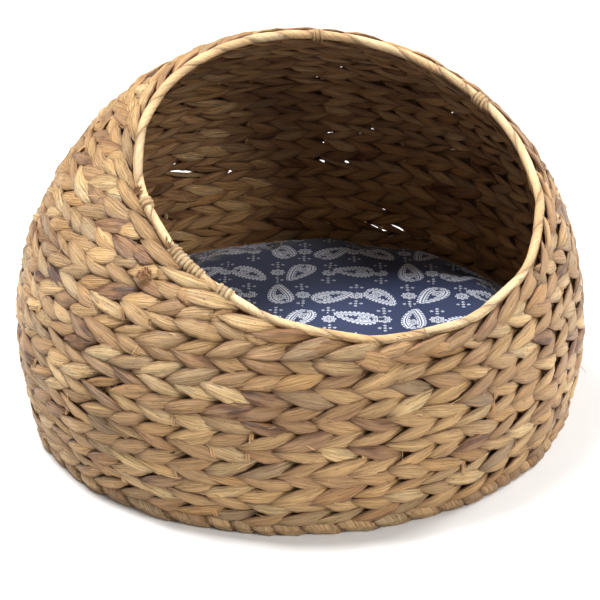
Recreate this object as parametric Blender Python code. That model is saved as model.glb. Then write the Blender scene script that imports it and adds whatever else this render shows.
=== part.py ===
"""A domed wicker pet bed: a wire frame, twined water hyacinth walls and floor, and a loose round cushion.

The origin is on the floor under the middle of the base. +Z is up and the mouth faces -Y. Sizes are in metres.
"""

import math

import bmesh
import bpy
from mathutils import Vector

# Driving dimensions of the woven body, over the outer faces of the weave.
BELLY_WIDTH = 0.580
BELLY_DEPTH = 0.560
BELLY_HEIGHT = 0.085
DOME_HEIGHT = 0.379  # of the whole dome, before the mouth is cut from it
BASE_RATIO = 0.951  # base outline over belly outline

# The mouth lies in one sloping plane, which passes through this point of the YZ plane.
MOUTH_TILT = math.radians(28.4)
MOUTH_POINT = Vector((0.0, -0.039, 0.3003))

# The wall is an outer and an inner weave with the upright ribs between them.
WEAVE_THICKNESS = 0.0048
RIB_RADIUS = 0.0017
RIB_CLEARANCE = 0.0006
RIB_DEPTH = WEAVE_THICKNESS + RIB_CLEARANCE + RIB_RADIUS
INNER_WEAVE_DEPTH = RIB_DEPTH + RIB_RADIUS + RIB_CLEARANCE
WALL_THICKNESS = INNER_WEAVE_DEPTH + WEAVE_THICKNESS
RIB_COUNT = 18
RIB_SPACING = 2 * math.pi / RIB_COUNT
BESIDE_RIB = 0.02  # radians to either side, between which the mouth's direction is taken
FLATNESS = 0.6  # how nearly flat the weave is between two ribs: 0 is round, 1 is flat
BAND_COUNT = 10
BAND_GAP = 0.0004
FACETS = 2 * RIB_COUNT  # sections round the body: one at each rib and one between

# Rings: the base hoop in its rope, and the mouth hoop in its binding.
BASE_HOOP_RADIUS = 0.0025
BASE_ROPE_RADIUS = 0.0070
BASE_ROPE_BORE = BASE_HOOP_RADIUS + 0.0004
FLAT_HALF_ANGLE = math.radians(15.0)  # half the flat underside of the rope
MOUTH_HOOP_RADIUS = 0.0017
MOUTH_BINDING_RADIUS = 0.0055
MOUTH_BINDING_BORE = MOUTH_HOOP_RADIUS + 0.0005
MOUTH_BINDING_SKIRT = 0.003
MOUTH_FACETS = 54
WEAVE_TRIM = MOUTH_BINDING_SKIRT + 0.0006  # how far down the wall from the mouth hoop the weave stops
CUTTER_REACH = 0.030

# Floor: bars from front to back with a weave over and under them.
BAR_COUNT = 5
BAR_SPACING = 0.092
BAR_RADIUS = 0.0017
FLOOR_WEAVE_THICKNESS = 0.0045
UNDERSIDE_WEAVE_THICKNESS = 0.0035  # thinner, to stay clear of the ground
FLOOR_GAP = 0.0005

# Cushion: two panels of cloth sewn together with a piped seam, round a fibre filling.
CUSHION_CLEARANCE = 0.009
CUSHION_SEAM_HEIGHT = 0.058
CUSHION_CROWN = 0.019
CUSHION_CROWN_POWER = 2.6
CUSHION_BOTTOM_RATIO = 0.90
CROWN_SHARES = (0.975, 0.93, 0.84, 0.68, 0.45, 0.2)  # rings of the top panel, from the seam inwards
SIDE_SHARE = 0.965  # of the ring between the bottom and the seam
SIDE_RISE = 0.3  # its height on the way from the bottom to the seam
CUSHION_REST_GAP = 0.0005
CLOTH_THICKNESS = 0.0012
PIPING_RADIUS = 0.003
CUSHION_FACETS = 36

JOIN_GAP = 0.0004
SHARP_EDGE = math.radians(35.0)

ROPE_CENTRE_HEIGHT = BASE_ROPE_RADIUS * math.cos(FLAT_HALF_ANGLE)
ROPE_OPEN_FROM = math.radians(44.0)
ROPE_OPEN_TO = math.radians(-130.0)
ROPE_SIDE_TURNS = [math.radians(12.0), math.radians(-20.0), math.radians(-48.0)]  # corners of its outer side
BAND_TOP = DOME_HEIGHT - 0.005  # clear of the dome's tip, and above the mouth everywhere
WALL_BOTTOM = ROPE_CENTRE_HEIGHT + BASE_ROPE_RADIUS * math.sin(ROPE_OPEN_FROM) + JOIN_GAP

MOUTH_NORMAL = Vector((0.0, -math.sin(MOUTH_TILT), math.cos(MOUTH_TILT)))

# name: (base colour, roughness, metallic)
FINISHES = {
    "hyacinth_light": ((0.62, 0.44, 0.22), 0.70, 0.0),
    "hyacinth_dark": ((0.40, 0.26, 0.13), 0.75, 0.0),
    "wrapped_rope": ((0.66, 0.49, 0.26), 0.65, 0.0),
    "frame_wire": ((0.12, 0.11, 0.10), 0.45, 0.9),
    "printed_cotton": ((0.03, 0.04, 0.11), 0.85, 0.0),
    "piping_cotton": ((0.30, 0.32, 0.38), 0.85, 0.0),
    "fibre_filling": ((0.88, 0.88, 0.86), 0.95, 0.0),
}


def clear_scene():
    for obj in list(bpy.data.objects):
        bpy.data.objects.remove(obj)


def material(name):
    found = bpy.data.materials.get(name)
    if found:
        return found
    colour, roughness, metallic = FINISHES[name]
    made = bpy.data.materials.new(name)
    made.use_nodes = True
    shader = made.node_tree.nodes["Principled BSDF"]
    shader.inputs["Base Color"].default_value = (*colour, 1.0)
    shader.inputs["Roughness"].default_value = roughness
    shader.inputs["Metallic"].default_value = metallic
    return made


def add_object(name, data, finish):
    obj = bpy.data.objects.new(name, data)
    bpy.context.scene.collection.objects.link(obj)
    data.materials.append(material(finish))
    return obj


# ---------------------------------------------------------------- the body's surface


def rib_angle(index):
    """Ribs stand either side of the front (-Y), never on it."""
    return -math.pi / 2 + (index + 0.5) * RIB_SPACING


def facet_factor(angle):
    """1 at a rib, and a little less between two ribs, where the weave is nearly flat."""
    from_middle = (angle + math.pi / 2 + RIB_SPACING / 2) % RIB_SPACING - RIB_SPACING / 2
    chord = math.cos(RIB_SPACING / 2) / math.cos(from_middle)
    return 1 - FLATNESS * (1 - chord)


def outline_ratio(height):
    """The outline at this height over the outline at the belly."""
    if height < BELLY_HEIGHT:
        below = (BELLY_HEIGHT - height) / BELLY_HEIGHT
        return 1 - (1 - BASE_RATIO) * below**2
    above = (height - BELLY_HEIGHT) / (DOME_HEIGHT - BELLY_HEIGHT)
    return math.sqrt(max(0.0, 1 - above**2))


def slope_normal(height):
    """(outward, upward) parts of the surface's unit normal at this height."""
    step = 0.0005
    low, high = max(0.0, height - step), min(DOME_HEIGHT - step, height + step)
    mean_radius = (BELLY_WIDTH + BELLY_DEPTH) / 4
    run = mean_radius * (outline_ratio(high) - outline_ratio(low))
    rise = high - low
    length = math.hypot(run, rise)
    return rise / length, -run / length


def wall_point(angle, height, depth):
    """A point this deep inside the weave's outer face."""
    outward, upward = slope_normal(height)
    size = outline_ratio(height) * facet_factor(angle)
    across = Vector((BELLY_WIDTH / 2 * math.cos(angle), BELLY_DEPTH / 2 * math.sin(angle), 0)) * size
    inward = Vector((-math.cos(angle) * outward, -math.sin(angle) * outward, -upward))
    return across + Vector((0, 0, height)) + inward * depth


def height_above_mouth(point):
    return (point - MOUTH_POINT).dot(MOUTH_NORMAL)


def band_edges():
    """Heights of the band edges, evenly spaced along the wall's slope from the base rope past the mouth."""
    steps = 400
    rise = BAND_TOP - WALL_BOTTOM
    heights = [WALL_BOTTOM + rise * step / steps for step in range(steps + 1)]
    lengths = [0.0]
    for low, high in zip(heights, heights[1:]):
        piece = wall_point(0, high, 0) - wall_point(0, low, 0)
        lengths.append(lengths[-1] + piece.length)
    edges = []
    for band in range(BAND_COUNT + 1):
        target = lengths[-1] * band / BAND_COUNT - 1e-9
        edges.append(next(height for height, length in zip(heights, lengths) if length >= target))
    return edges


def wall_line(angle, depth, edges):
    """The wall's upright section up to the mouth: straight between band edges, as the bands are."""
    line = [wall_point(angle, edges[0], depth)]
    for height in edges[1:]:
        following = wall_point(angle, height, depth)
        below, above = height_above_mouth(line[-1]), height_above_mouth(following)
        if above >= 0:
            return line + [line[-1].lerp(following, -below / (above - below))]
        line.append(following)
    return line


def mouth_line(edges):
    """Points of the mouth hoop, each with its directions outward and down the wall."""
    angles = [rib_angle(0) + i * 2 * math.pi / MOUTH_FACETS for i in range(MOUTH_FACETS)]
    lines = [wall_line(angle, RIB_DEPTH, edges) for angle in angles]
    hoop = [line[-1] for line in lines]
    found = []
    for i, line in enumerate(lines):
        along = (hoop[(i + 1) % MOUTH_FACETS] - hoop[i - 1]).normalized()
        down = line[-2] - line[-1]
        down = (down - along * down.dot(along)).normalized()
        outward = down.cross(along).normalized()
        found.append((hoop[i], outward, down))
    return found


# ---------------------------------------------------------------- solids


def loft(name, loops, finish, closed=False):
    """A solid through a row of matching loops of points: a ring if closed, else with its two ends filled."""
    mesh = bpy.data.meshes.new(name)
    bm = bmesh.new()
    rings = [[bm.verts.new(point) for point in loop] for loop in loops]
    count = len(rings[0])
    following_rings = rings[1:] + rings[:1] if closed else rings[1:]
    for ring, following in zip(rings, following_rings):
        for i in range(count):
            after = (i + 1) % count
            bm.faces.new((ring[i], ring[after], following[after], following[i]))
    if not closed:
        bm.faces.new(rings[0])
        bm.faces.new(rings[-1])
    bmesh.ops.recalc_face_normals(bm, faces=bm.faces)
    if bm.calc_volume(signed=True) < 0:
        bmesh.ops.reverse_faces(bm, faces=bm.faces)
    bm.to_mesh(mesh)
    bm.free()
    mesh.shade_smooth()
    mesh.set_sharp_from_angle(angle=SHARP_EDGE)
    return add_object(name, mesh, finish)


def wire(name, points, radius, finish, closed=False):
    """A round wire through these points."""
    curve = bpy.data.curves.new(name, "CURVE")
    curve.dimensions = "3D"
    curve.bevel_depth = radius
    curve.bevel_resolution = 1
    curve.use_fill_caps = not closed
    spline = curve.splines.new("POLY")
    spline.points.add(len(points) - 1)
    for target, point in zip(spline.points, points):
        target.co = (*point, 1.0)
    spline.use_cyclic_u = closed
    return add_object(name, curve, finish)


def facet_angles():
    return [rib_angle(0) + i * RIB_SPACING / 2 for i in range(FACETS)]


# ---------------------------------------------------------------- woven wall


def make_mouth_cutter(edges):
    """A lid over the mouth, whose rim cuts square across the wall just below the mouth binding."""
    line = mouth_line(edges)
    loops = []
    for reach in (-CUTTER_REACH, -MOUTH_BINDING_RADIUS, MOUTH_BINDING_RADIUS, CUTTER_REACH):
        loops.append([point + outward * reach + down * WEAVE_TRIM for point, outward, down in line])
    loops.append([point + MOUTH_NORMAL * BELLY_WIDTH for point in loops[-1]])
    cutter = loft("mouth_cutter", loops, "hyacinth_dark")
    cutter.hide_render = True
    cutter.display_type = "WIRE"
    return cutter


def make_band(name, low, high, depths, finish, cutter):
    """One band of the weave between two heights and two depths, trimmed at the mouth if it reaches it."""
    near, far = depths
    sections = []
    for angle in facet_angles():
        corners = ((low, near), (high, near), (high, far), (low, far))
        sections.append([wall_point(angle, height, depth) for height, depth in corners])
    band = loft(name, sections, finish, closed=True)
    highest = max(height_above_mouth(point) for section in sections for point in section)
    if highest > -CUTTER_REACH:
        cut = band.modifiers.new("mouth", "BOOLEAN")
        cut.operation = "DIFFERENCE"
        cut.object = cutter


def make_wall(edges):
    cutter = make_mouth_cutter(edges)
    for number, (low, high) in enumerate(zip(edges, edges[1:]), 1):
        outer = (0.0, WEAVE_THICKNESS)
        inner = (INNER_WEAVE_DEPTH, WALL_THICKNESS)
        top = high - BAND_GAP
        make_band(f"outer_weave_{number}", low, top, outer, "hyacinth_light", cutter)
        make_band(f"inner_weave_{number}", low, top, inner, "hyacinth_dark", cutter)


# ---------------------------------------------------------------- wire frame


def make_rib(index, edges):
    """An upright wire from just above the base hoop to just short of the mouth hoop."""
    angle = rib_angle(index)
    line = wall_line(angle, RIB_DEPTH, edges)
    upward = (line[-1] - line[-2]).normalized()
    before, after = (wall_line(angle + side * BESIDE_RIB, RIB_DEPTH, edges)[-1] for side in (-1, 1))
    cosine = abs(upward.dot((after - before).normalized()))
    short = (MOUTH_HOOP_RADIUS + JOIN_GAP + RIB_RADIUS * cosine) / math.sqrt(1 - cosine**2)
    line[-1] = line[-1] - upward * short
    foot = base_point(angle) + Vector((0, 0, BASE_HOOP_RADIUS + JOIN_GAP))
    wire(f"rib_{index + 1:02d}", [foot, *line], RIB_RADIUS, "frame_wire")


def base_point(angle):
    """The middle of the base hoop, right under the foot of a rib."""
    point = wall_point(angle, WALL_BOTTOM, RIB_DEPTH)
    point.z = ROPE_CENTRE_HEIGHT
    return point


def make_base_rope():
    """Hyacinth wound round the base hoop, open above for the ribs and inside for the floor bars."""
    flat = -math.pi / 2
    turns = [ROPE_OPEN_FROM, *ROPE_SIDE_TURNS, flat + FLAT_HALF_ANGLE, flat - FLAT_HALF_ANGLE, ROPE_OPEN_TO]
    sections = []
    for angle in facet_angles():
        centre = base_point(angle)
        outward = Vector((math.cos(angle), math.sin(angle), 0))
        rim = [(radius, turn) for radius, order in ((BASE_ROPE_RADIUS, 1), (BASE_ROPE_BORE, -1))
               for turn in turns[::order]]
        sections.append([centre + outward * radius * math.cos(turn) + Vector((0, 0, radius * math.sin(turn)))
                         for radius, turn in rim])
    loft("base_rope", sections, "wrapped_rope", closed=True)


def make_mouth_binding(edges):
    """A strand wound round the mouth hoop, open down the wall where the ribs enter it."""
    across = [0.0, 45.0, 90.0, 135.0, 180.0]

    def half(radius):
        turns = [math.radians(turn) for turn in across]
        arc = [(radius * math.cos(turn), -radius * math.sin(turn)) for turn in turns]
        return [(radius, MOUTH_BINDING_SKIRT), *arc, (-radius, MOUTH_BINDING_SKIRT)]

    outline = half(MOUTH_BINDING_RADIUS) + half(MOUTH_BINDING_BORE)[::-1]
    sections = [[point + outward * out + down * below for out, below in outline]
                for point, outward, down in mouth_line(edges)]
    loft("mouth_binding", sections, "wrapped_rope", closed=True)


def make_floor_bar(number):
    """A bar from front to back between the two sides of the base hoop."""
    x = (number - (BAR_COUNT + 1) / 2) * BAR_SPACING
    hoop = [base_point(angle) for angle in facet_angles()]
    side = next((a, b) for a, b in zip(hoop, hoop[1:] + hoop[:1])
                if a.y > 0 and min(a.x, b.x) <= x <= max(a.x, b.x))
    start, finish = side
    share = (x - start.x) / (finish.x - start.x)
    half_length = start.y + (finish.y - start.y) * share
    slant = math.atan2(abs(finish.y - start.y), abs(finish.x - start.x))
    half_length -= (BASE_HOOP_RADIUS + JOIN_GAP + BAR_RADIUS * math.sin(slant)) / math.cos(slant)
    ends = [Vector((x, -half_length, ROPE_CENTRE_HEIGHT)), Vector((x, half_length, ROPE_CENTRE_HEIGHT))]
    wire(f"floor_bar_{number}", ends, BAR_RADIUS, "frame_wire")


def make_frame(edges):
    for index in range(RIB_COUNT):
        make_rib(index, edges)
    base_ring = [base_point(angle) for angle in facet_angles()]
    wire("base_hoop", base_ring, BASE_HOOP_RADIUS, "frame_wire", closed=True)
    mouth_ring = [point for point, _, _ in mouth_line(edges)]
    wire("mouth_hoop", mouth_ring, MOUTH_HOOP_RADIUS, "frame_wire", closed=True)
    for number in range(1, BAR_COUNT + 1):
        make_floor_bar(number)


# ---------------------------------------------------------------- floor


def floor_outline(depth, height):
    points = [wall_point(angle, WALL_BOTTOM, depth) for angle in facet_angles()]
    return [Vector((point.x, point.y, height)) for point in points]


def make_floor():
    """The floor's weave, which passes over and under the bars."""
    over = ROPE_CENTRE_HEIGHT + BAR_RADIUS + FLOOR_GAP
    under = ROPE_CENTRE_HEIGHT - BAR_RADIUS - FLOOR_GAP
    inside_wall = WALL_THICKNESS + FLOOR_GAP
    inside_rope = RIB_DEPTH + BASE_ROPE_RADIUS
    top = over + FLOOR_WEAVE_THICKNESS
    bottom = under - UNDERSIDE_WEAVE_THICKNESS
    upper = [floor_outline(inside_wall, over), floor_outline(inside_wall, top)]
    lower = [floor_outline(inside_rope, bottom), floor_outline(inside_rope, under)]
    loft("floor_weave_upper", upper, "hyacinth_dark")
    loft("floor_weave_lower", lower, "hyacinth_light")
    return top


# ---------------------------------------------------------------- cushion


def cushion_ring(share, height, inset=0.0):
    """A loop at this share of the seam's outline, and inset from it all round."""
    half_width = BELLY_WIDTH / 2 * BASE_RATIO - WALL_THICKNESS - CUSHION_CLEARANCE
    half_depth = BELLY_DEPTH / 2 * BASE_RATIO - WALL_THICKNESS - CUSHION_CLEARANCE
    ring = []
    for i in range(CUSHION_FACETS):
        angle = 2 * math.pi * i / CUSHION_FACETS
        x = (half_width * share - inset) * math.cos(angle)
        y = (half_depth * share - inset) * math.sin(angle)
        ring.append(Vector((x, y, height)))
    return ring


def crown_height(share):
    rise = (1 - share**CUSHION_CROWN_POWER) ** (1 / CUSHION_CROWN_POWER)
    return CUSHION_SEAM_HEIGHT + CUSHION_CROWN * rise


def cloth_panel(name, profile, facing):
    """A sheet of cloth. Its profile runs from the cut edge to the middle as (share, height). facing is 1 for
    a panel that faces up and -1 for one that faces down."""
    outer = [cushion_ring(share, height) for share, height in profile]
    inner = [cushion_ring(profile[0][0], profile[0][1], CLOTH_THICKNESS)]
    for share, height in profile[1:]:
        inner.append(cushion_ring(share, height - facing * CLOTH_THICKNESS, CLOTH_THICKNESS))
    loft(name, outer[::-1] + inner, "printed_cotton")


def make_cushion(floor_top):
    seam = 1 - (PIPING_RADIUS + JOIN_GAP) / (BELLY_DEPTH / 2 * BASE_RATIO)
    bottom = floor_top + CUSHION_REST_GAP
    edge_gap = JOIN_GAP / 2
    top = [(seam, CUSHION_SEAM_HEIGHT + edge_gap)]
    top += [(share, crown_height(share)) for share in CROWN_SHARES]
    side_height = bottom + (CUSHION_SEAM_HEIGHT - bottom) * SIDE_RISE
    below = [(seam, CUSHION_SEAM_HEIGHT - edge_gap)]
    below += [(SIDE_SHARE, side_height), (CUSHION_BOTTOM_RATIO, bottom)]
    cloth_panel("cushion_top_panel", top, 1)
    cloth_panel("cushion_bottom_panel", below, -1)

    slack = CLOTH_THICKNESS + JOIN_GAP
    filling = [cushion_ring(CUSHION_BOTTOM_RATIO, bottom + slack, slack),
               cushion_ring(SIDE_SHARE, side_height + slack, slack),
               cushion_ring(seam, CUSHION_SEAM_HEIGHT, slack)]
    filling += [cushion_ring(share, height - slack, slack) for share, height in top[1:]]
    loft("cushion_filling", filling, "fibre_filling")
    seam_ring = cushion_ring(1.0, CUSHION_SEAM_HEIGHT)
    wire("cushion_piping", seam_ring, PIPING_RADIUS, "piping_cotton", closed=True)


def group(name, members):
    """An empty that holds the pieces of one body. The cushion's is on the line that it is lifted along."""
    holder = bpy.data.objects.new(name, None)
    bpy.context.scene.collection.objects.link(holder)
    for obj in members:
        obj.parent = holder


def main():
    clear_scene()
    edges = band_edges()
    make_wall(edges)
    make_frame(edges)
    make_base_rope()
    make_mouth_binding(edges)
    floor_top = make_floor()
    group("basket", list(bpy.data.objects))
    make_cushion(floor_top)
    group("cushion", [obj for obj in bpy.data.objects if obj.name.startswith("cushion_")])


main()
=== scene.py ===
"""The looks of the domed wicker pet bed.

Twined hyacinth leaves, wound rims, a woven floor and a printed cushion take the place of the soft CAD pieces.
The wires of the frame keep their CAD shapes. Lengths are in metres and angles in radians.
"""

import math

import bpy
import numpy as np
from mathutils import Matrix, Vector


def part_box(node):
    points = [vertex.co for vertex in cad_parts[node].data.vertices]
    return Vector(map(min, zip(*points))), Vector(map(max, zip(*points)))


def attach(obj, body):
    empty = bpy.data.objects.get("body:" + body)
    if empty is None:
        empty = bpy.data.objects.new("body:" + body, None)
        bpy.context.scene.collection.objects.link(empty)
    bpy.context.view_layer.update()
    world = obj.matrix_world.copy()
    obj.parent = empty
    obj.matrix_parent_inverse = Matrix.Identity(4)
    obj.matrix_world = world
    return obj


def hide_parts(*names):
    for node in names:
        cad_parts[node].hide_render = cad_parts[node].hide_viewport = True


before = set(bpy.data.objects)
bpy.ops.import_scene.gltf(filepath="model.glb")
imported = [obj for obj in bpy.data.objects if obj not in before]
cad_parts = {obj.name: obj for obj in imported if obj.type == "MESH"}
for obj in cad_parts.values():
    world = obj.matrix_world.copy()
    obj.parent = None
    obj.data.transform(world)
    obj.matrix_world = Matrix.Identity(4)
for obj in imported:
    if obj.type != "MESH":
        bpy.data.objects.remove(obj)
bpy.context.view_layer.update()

# The body's shape, as in the CAD part.
BELLY_WIDTH = 0.580
BELLY_DEPTH = 0.560
BELLY_HEIGHT = 0.085
DOME_HEIGHT = 0.379
BASE_RATIO = 0.951  # width at the floor, as a share of the belly's
MOUTH_TILT = math.radians(28.4)
MOUTH_POINT = np.array((0.0, -0.039, 0.3003))
MOUTH_NORMAL = np.array((0.0, -math.sin(MOUTH_TILT), math.cos(MOUTH_TILT)))
RIB_DEPTH = 0.0071
RIB_COUNT = 18
RIB_SPACING = 2 * math.pi / RIB_COUNT
FIRST_RIB = -math.pi / 2 + RIB_SPACING / 2
FLATNESS = 0.6  # 0 is a round outline, and 1 runs straight from rib to rib
BAND_COUNT = 10
BAR_COUNT = 5
MEAN_RADIUS = (BELLY_WIDTH + BELLY_DEPTH) / 4
DOME_LIMIT = DOME_HEIGHT * 0.9994  # the wall is followed up to here, just short of the dome's tip
BASE_LEVEL = 0.012  # height at which the base winding follows the wall
GROUND_GAP = 0.0002  # nothing reaches lower

# Twining: every leaf is one pass of a flattened strand over a stake, outside or inside of the wall.
COURSE_PITCH = 0.0136
FIRST_COURSE = 0.0190
LEAF_PITCH = 0.033
LEAF_REACH = 0.95  # half a leaf's length over the pitch of the stakes
LEAF_WIDTH = 0.0166
LEAF_TIP = 0.07  # width of a leaf's tips, as a share of its widest part
LEAF_TAPER = 1.7  # the higher, the fuller its middle and the blunter its ends
LEAF_WAVER = 0.05  # unevenness of its edges
LEAF_THICKNESS = 0.0023
TIP_THICKNESS = 0.45  # as a share of the thickness
LEAF_SLOPE = 0.25
LEAF_LAP = 0.26  # how far its highest point lies from the middle, towards the end that is on top
LEAF_SINK = 0.0052  # how far the ends of a leaf dip into the wall
DIP_POWER = 2.6  # the higher, the flatter the middle and the steeper the dip
DEEPEST_DIP = 1.25
LEAF_BACK = 0.72  # width of a leaf's back, as a share of the width of its face
BACK_LEVEL = -0.75  # depth of the back, in thicknesses
RIDGES = 0.26  # height of the ridges along a leaf, in thicknesses
BUMPS = 0.10  # height of the bumps between them
OUTER_SKIN = 0.0050  # how far the middle of a leaf lies from the middle of the wall
FLOOR_SKIN = 0.0026
EDGE_ROOM = 0.0105  # the courses stop this far below the mouth
OUTSIDE_GRID = (13, 9, 4)  # stations along a leaf, and points across its face and its back
INSIDE_GRID = (9, 7, 3)
TRIAL_STEPS = 20  # steps from a leaf's middle to each end in which its room below the mouth is tried
TRIAL_SHARES = np.linspace(-1, 1, 2 * TRIAL_STEPS + 1)
BORDER_DEPTH = 0.0112
BORDER_LEAVES = 38
BORDER_WIDTH = 0.84
BORDER_RISE = 0.0006

# How much the leaves differ from each other: the lowest and the highest value.
SLOPE_SPREAD = (0.6, 1.4)
BOW_SPREAD = (-0.0009, 0.0012)
RISE_SPREAD = (-0.0010, 0.0010)
BULGE_SPREAD = (-0.0009, 0.0012)
SINK_SPREAD = (0.85, 1.25)
LAP_SPREAD = (0.5, 1.4)
WIDEST_SPREAD = (-0.18, 0.18)
WIDTH_SPREAD = (0.84, 1.14)
SHARPNESS_SPREAD = (1.25, 3.0)
ROLL_SPREAD = (-0.16, 0.16)
REACH_SPREAD = (0.88, 1.14)

# Twine stakes, their loops and loose fibres.
STAKES_PER_RIB = 3
STAKE_TOP = 0.27
STAKE_TWINE = 0.0014
RIB_TWINE = 0.0027
LOOP_TWINE = 0.0012
LOOP_SHARE = 0.13  # share of the crossings where the twine shows
LOOP_MARGIN = 0.028  # no loops nearer to the mouth than this
LOOSE_FIBRES = 170

# Wound rims.
STRAND_WIDTH = 0.015
RIM_RADIUS = 0.0045
RIM_SMOOTHING = 0.014  # share of the way round over which the ribs' corners are rounded off
RIM_TURN = 0.046  # length of rim for one turn of its strand
TIE_RISE = 0.0017  # how far a tie stands off the rim
BASE_RADIUS = 0.0068
BASE_RISE = 0.0016
BASE_LENGTH = 1.75
BASE_TURN = 0.028

# Cushion.
CUSHION_WIDTH = 0.5050
CUSHION_DEPTH = 0.4860
SEAM_HEIGHT = 0.058
CUSHION_BOTTOM = 0.0146
CUSHION_TOP = 0.0790
COVER_VOXEL = 0.0055
STUFFING_FRAMES = 20
SWELL_LIMIT = 0.012  # the filling moves the cloth no further than this
SHELL_PROFILE = (  # (share of the radius, height) from the top round the seam to the bottom
    (0.02, CUSHION_TOP - 0.004),
    (0.45, CUSHION_TOP - 0.005),
    (0.75, CUSHION_TOP - 0.008),
    (0.90, CUSHION_TOP - 0.012),
    (0.97, SEAM_HEIGHT + 0.004),
    (1.0, SEAM_HEIGHT),
    (0.985, SEAM_HEIGHT - 0.012),
    (0.97, CUSHION_BOTTOM + 0.012),
    (0.90, CUSHION_BOTTOM + 0.003),
    (0.60, CUSHION_BOTTOM + 0.002),
    (0.02, CUSHION_BOTTOM + 0.002),
)
PIPING_RADIUS = 0.0030
PIPING_INSET = 0.0012
PIPING_LENGTH = 1.56
PIPING_TURN = 0.006

# Print.
PRINT_CELL = 0.056
BEAD_CELL = PRINT_CELL / 10
DROP_LENGTH = PRINT_CELL * 0.76
DROP_LINES = (  # (depth inside the drop's edge, half width, beaded or plain)
    (0.0, 0.0011, False),
    (0.0032, 0.0008, False),
    (-0.0026, 0.0010, True),
    (0.0056, 0.0009, True),
)
FLOWER_RADIUS = PRINT_CELL * 0.115
PRINT_SLANT = 0.45
ROW_TURN = 2.4  # how far a drop is turned from the one in the row below
COLUMN_TURN = 1.3  # and from the one before it in its row
PRINT_ORIGIN = 3.0  # keeps the numbers of rows and columns above zero

# (place round the mouth from the front, windings, pitch) of the short ties on the rim
RIM_TIES = (
    (0.742, 2, 0.0046),
    (0.790, 9, 0.0043),
    (0.838, 3, 0.0046),
    (0.455, 2, 0.0050),
    (0.30, 3, 0.0045),
)

# (place round the mouth from the front, distance below it, fibres, heading, size) of the frayed strand ends
TUFTS = (
    (0.735, 0.004, 12, 1.2, 0.0022),
    (0.797, 0.034, 70, 0.3, 0.0050),
    (0.792, 0.002, 14, 1.2, 0.0022),
)

# Places where the weave is open enough to see daylight: their number, and the range of each measure.
THIN_SPOTS = 32
SPOT_ANGLES = (-0.5, 3.7)
SPOT_HEIGHTS = (0.05, 0.33)
SPOT_LOSSES = (0.36, 0.64)  # share of the leaves' width that is lost
SPOT_REACH = 0.075  # an angle
SPOT_HALF_HEIGHT = 0.012

SEED = 20
rng = np.random.default_rng(SEED)
OPEN_SPOTS = [
    (rng.uniform(*SPOT_ANGLES), rng.uniform(*SPOT_HEIGHTS), rng.uniform(*SPOT_LOSSES))
    for _ in range(THIN_SPOTS)
]


# ---- the wall's surface


def outline_ratio(height):
    below = np.clip((BELLY_HEIGHT - height) / BELLY_HEIGHT, 0, None)
    above = np.clip((height - BELLY_HEIGHT) / (DOME_HEIGHT - BELLY_HEIGHT), 0, 0.9995)
    return np.where(height < BELLY_HEIGHT, 1 - (1 - BASE_RATIO) * below**2, np.sqrt(1 - above**2))


def facet_factor(angle):
    from_middle = (angle - FIRST_RIB) % RIB_SPACING - RIB_SPACING / 2
    return 1 - FLATNESS * (1 - math.cos(RIB_SPACING / 2) / np.cos(from_middle))


def wall_frame(angle, height, depth=RIB_DEPTH):
    """Points of the wall with their outward and upward directions, each as an array of rows."""
    angle, height = np.broadcast_arrays(np.asarray(angle, float), np.asarray(height, float))
    step = 0.0005
    run = MEAN_RADIUS * (outline_ratio(height + step) - outline_ratio(height - step))
    length = np.hypot(run, 2 * step)
    out, lean = 2 * step / length, -run / length
    cosine, sine = np.cos(angle), np.sin(angle)
    size = outline_ratio(height) * facet_factor(angle)
    outward = np.stack((cosine * out, sine * out, lean), -1)
    upward = np.stack((-cosine * lean, -sine * lean, out), -1)
    point = np.stack((BELLY_WIDTH / 2 * cosine * size, BELLY_DEPTH / 2 * sine * size, height), -1)
    return point - outward * depth, outward, upward


def above_mouth(point):
    return (point - MOUTH_POINT) @ MOUTH_NORMAL


def unit(vectors):
    return vectors / np.linalg.norm(vectors, axis=-1, keepdims=True)


def dot(a, b):
    return np.sum(a * b, axis=-1, keepdims=True)


def angles_round(count):
    """Evenly spaced angles all the way round."""
    return np.arange(count) * 2 * math.pi / count


def spokes(first, second, turn):
    """Directions round each station, turned from the first direction to the second."""
    return first[:, None, :] * np.cos(turn)[:, None] + second[:, None, :] * np.sin(turn)[:, None]


def smoothed(ring, reach):
    """A closed ring of points, each averaged with its neighbours on both sides."""
    return np.mean([np.roll(ring, shift, axis=0) for shift in range(-reach, reach + 1)], axis=0)


def between(ring, place):
    """Values of a closed ring at places that are counted in its stations, each between two of them."""
    lower = np.floor(place).astype(int)
    part = (place - lower)[..., None]
    return ring[lower % len(ring)] * (1 - part) + ring[(lower + 1) % len(ring)] * part


def mouth_frame(count):
    """Evenly spaced stations round the mouth: points, outward and upward directions, and the whole length."""
    first_stations, lowest, halvings = 721, 0.05, 36
    angle = np.linspace(-math.pi / 2, 1.5 * math.pi, first_stations)
    for _ in range(2):
        low = np.full(angle.shape, lowest)
        high = np.full(angle.shape, DOME_LIMIT)
        for _ in range(halvings):
            middle = (low + high) / 2
            under = above_mouth(wall_frame(angle, middle)[0]) < 0
            low = np.where(under, middle, low)
            high = np.where(under, high, middle)
        point, outward, _ = wall_frame(angle, low)
        length = np.concatenate(([0], np.cumsum(np.linalg.norm(np.diff(point, axis=0), axis=1))))
        angle = np.interp(np.linspace(0, length[-1], count + 1), length, angle)
    reach = round(count * RIM_SMOOTHING)
    point, outward = smoothed(point[:-1], reach), smoothed(outward[:-1], reach)
    along = unit(np.roll(point, -1, axis=0) - np.roll(point, 1, axis=0))
    outward = unit(outward - along * dot(outward, along))
    upward = np.cross(outward, along)
    upward *= np.sign(dot(upward, MOUTH_NORMAL))
    return point, outward, upward, length[-1]


# ---- meshes


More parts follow.
